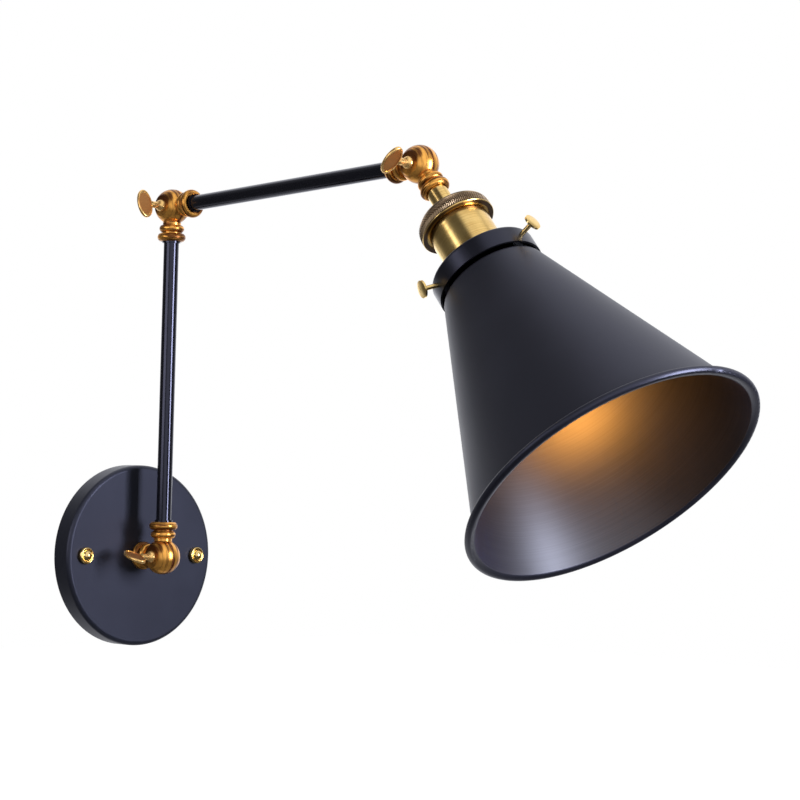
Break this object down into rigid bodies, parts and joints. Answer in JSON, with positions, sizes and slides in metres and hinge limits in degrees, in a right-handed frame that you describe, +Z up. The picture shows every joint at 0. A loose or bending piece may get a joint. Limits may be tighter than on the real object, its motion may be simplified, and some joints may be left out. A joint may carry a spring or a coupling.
{
  "type": "swing arm wall lamp",
  "caption": "Wall lamp with two tube arms on clamped ball knuckles and a conical metal shade, hard-wired through a round canopy; arms fold and the head tilts.",
  "frame": {"origin": "centre of the canopy on the wall plane, midway between the wall screws", "axes": "+Z up, +Y into the wall, the lamp reaches towards -Y, hinge axes parallel to X"},
  "size_m": [0.1958, 0.5324, 0.3373],
  "materials": {
    "satin_black": "satin black enamel",
    "gloss_black": "glossy black enamel",
    "antique_brass": "polished antique brass",
    "brushed_brass": "brass brushed around its axis",
    "knurled_bronze": "darkened brass with a diamond knurl",
    "bright_brass": "polished brass",
    "contact_brass": "plain brass",
    "zinc_steel": "zinc plated",
    "earth_brass": "plain brass",
    "fibre": "vulcanised fibre",
    "terminal_plastic": "natural nylon",
    "lead_sheath": "soft sheath",
    "insulator": "moulded phenolic",
    "bulb_metal": "plain metal",
    "bulb_glass": "clear glass",
    "filament": "coiled wire"
  },
  "bodies": {
    "wall_mount": {"canopy": "satin_black", "mounting_crossbar": "zinc_steel", "canopy_studs": "zinc_steel", "canopy_cap_nuts": "bright_brass", "canopy_nipple": "zinc_steel", "nipple_washer": "zinc_steel", "nipple_lock_nut": "zinc_steel", "terminal_block": "terminal_plastic", "terminal_screws": "zinc_steel", "terminal_fixing_screw": "zinc_steel", "earth_screw": "earth_brass", "canopy_leads": "lead_sheath", "base_knuckle_inner": "antique_brass", "base_friction_washer": "fibre"},
    "lower_arm": {"base_knuckle_outer": "antique_brass", "lower_arm_tube": "gloss_black", "lower_arm_flex": "lead_sheath", "lower_arm_lock_rings": "gloss_black", "elbow_knuckle_inner": "antique_brass", "elbow_friction_washer": "fibre"},
    "upper_arm": {"elbow_knuckle_outer": "antique_brass", "upper_arm_tube": "gloss_black", "upper_arm_flex": "lead_sheath", "upper_arm_lock_rings": "gloss_black", "head_knuckle_inner": "antique_brass", "head_friction_washer": "fibre"},
    "head": {"head_knuckle_outer": "antique_brass", "holder_stem": "zinc_steel", "holder_lock_nut": "zinc_steel", "holder_cap": "knurled_bronze", "holder_shell": "brushed_brass", "holder_insulator": "insulator", "holder_leads": "lead_sheath", "holder_screw_shell": "contact_brass", "holder_contact": "contact_brass", "shade_gallery": "satin_black", "shade_nut": "insulator", "shade": "satin_black", "bulb_cap": "bulb_metal", "bulb_tip_contact": "bulb_metal", "bulb_glass": "bulb_glass", "bulb_stem": "bulb_glass", "bulb_filament": "filament"},
    "base_thumbscrew": {"base_thumbscrew": "antique_brass"},
    "elbow_thumbscrew": {"elbow_thumbscrew": "antique_brass"},
    "head_thumbscrew": {"head_thumbscrew": "antique_brass"},
    "gallery_screw_1": {"gallery_screw_1": "bright_brass"},
    "gallery_screw_2": {"gallery_screw_2": "bright_brass"},
    "gallery_screw_3": {"gallery_screw_3": "bright_brass"}
  },
  "joints": [
    {"name": "base_hinge", "type": "hinge", "parent": "wall_mount", "child": "lower_arm", "pos_m": [0, -0.0406, 0], "axis": [1, 0, 0], "range_deg": [-5, 90]},
    {"name": "elbow_hinge", "type": "hinge", "parent": "lower_arm", "child": "upper_arm", "pos_m": [0, -0.0406, 0.249], "axis": [1, 0, 0], "range_deg": [-90, 18]},
    {"name": "head_hinge", "type": "hinge", "parent": "upper_arm", "child": "head", "pos_m": [0, -0.28934, 0.26029], "axis": [1, 0, 0], "range_deg": [-158, 53]},
    {"name": "base_thumbscrew_turn", "type": "hinge", "parent": "lower_arm", "child": "base_thumbscrew", "pos_m": [0, -0.0406, 0], "axis": [-1, 0, 0], "range_deg": [0, 360]},
    {"name": "elbow_thumbscrew_turn", "type": "hinge", "parent": "upper_arm", "child": "elbow_thumbscrew", "pos_m": [0, -0.0406, 0.249], "axis": [-1, 0, 0], "range_deg": [0, 360]},
    {"name": "head_thumbscrew_turn", "type": "hinge", "parent": "head", "child": "head_thumbscrew", "pos_m": [0, -0.28934, 0.26029], "axis": [-1, 0, 0], "range_deg": [0, 360]},
    {"name": "gallery_screw_1_turn", "type": "hinge", "parent": "head", "child": "gallery_screw_1", "pos_m": [0, -0.35059, 0.18833], "axis": [0.0698, -0.7597, 0.6465], "range_deg": [0, 360]},
    {"name": "gallery_screw_2_turn", "type": "hinge", "parent": "head", "child": "gallery_screw_2", "pos_m": [0, -0.35059, 0.18833], "axis": [-0.8988, 0.3338, -0.2841], "range_deg": [0, 360]},
    {"name": "gallery_screw_3_turn", "type": "hinge", "parent": "head", "child": "gallery_screw_3", "pos_m": [0, -0.35059, 0.18833], "axis": [0.829, 0.4258, -0.3624], "range_deg": [0, 360]}
  ]
}
